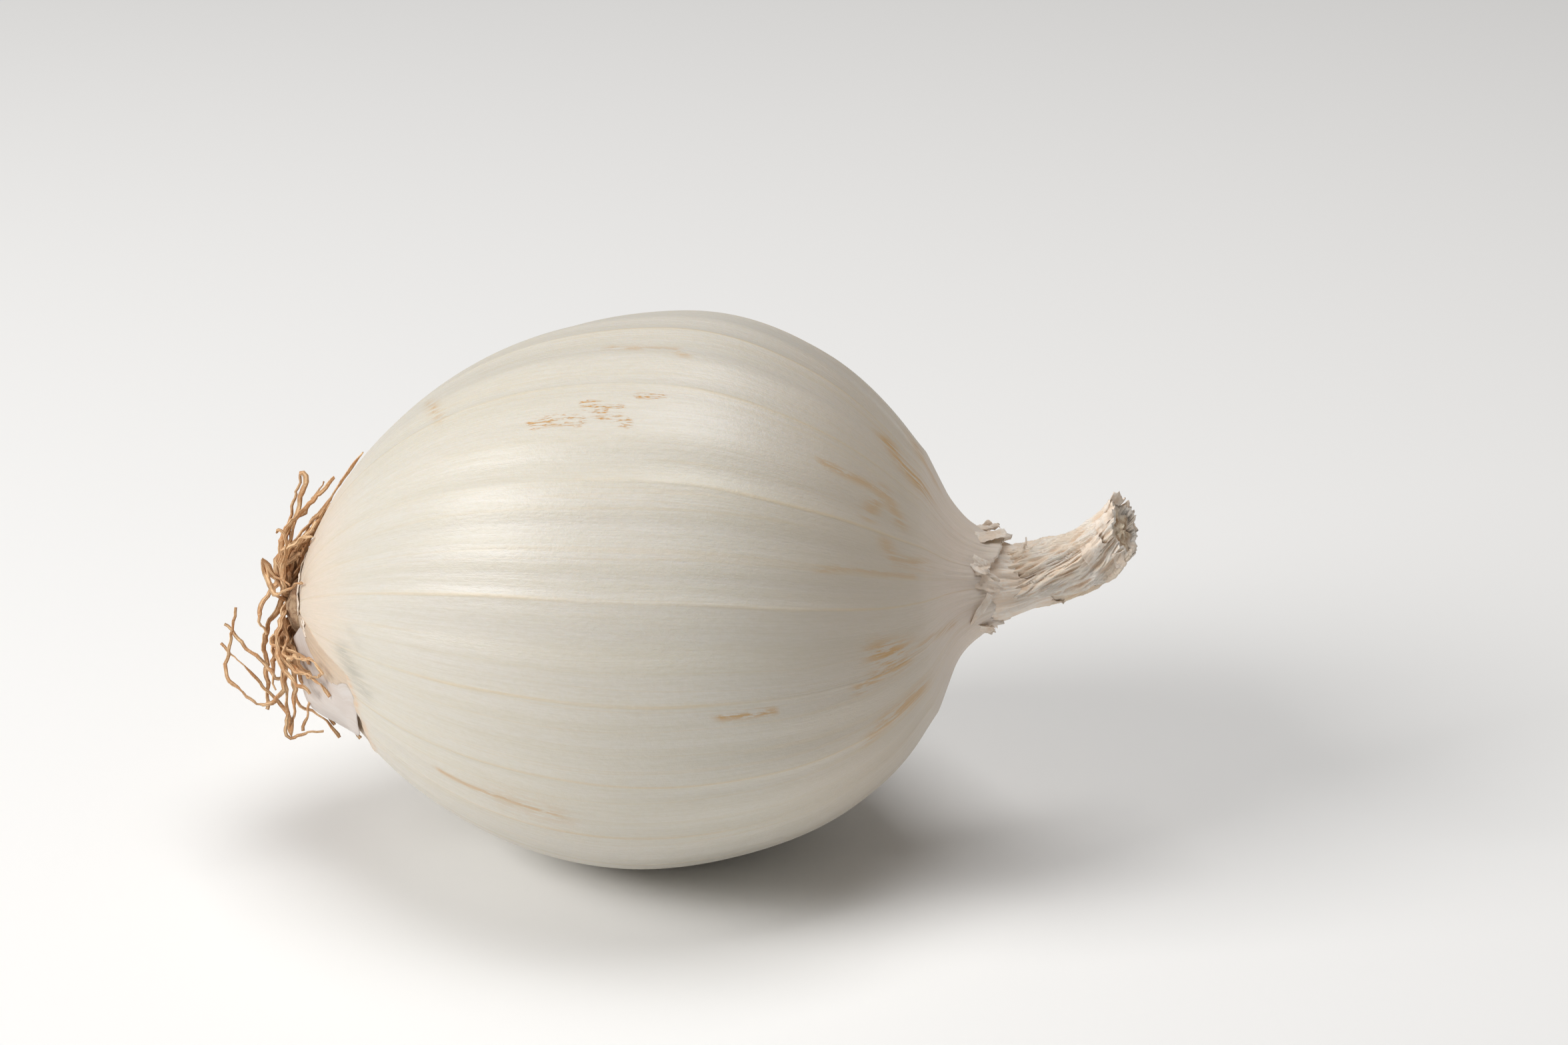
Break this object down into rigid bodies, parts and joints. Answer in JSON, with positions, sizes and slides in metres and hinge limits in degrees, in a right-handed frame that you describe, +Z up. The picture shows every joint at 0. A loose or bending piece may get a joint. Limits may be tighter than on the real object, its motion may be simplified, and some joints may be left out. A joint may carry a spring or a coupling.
{
  "type": "white onion",
  "caption": "Dried white onion lying on its side: smooth ribbed bulb, torn skin round a bent dry neck, and a tuft of wiry roots at the other end.",
  "frame": {"origin": "middle of the small flat spot under the belly that the onion rests on", "axes": "+Z up, +X level along the bulb from the roots to the neck, +Y away from the viewer"},
  "size_m": [0.1338, 0.0805, 0.0802],
  "materials": {
    "bulb_skin": "satin",
    "neck_skin": "matte",
    "dry_roots": "matte",
    "loose_skin": "satin"
  },
  "bodies": {
    "root": {"bulb": "bulb_skin", "neck": "neck_skin", "root_tuft": "dry_roots", "loose_skin": "loose_skin"}
  },
  "joints": []
}
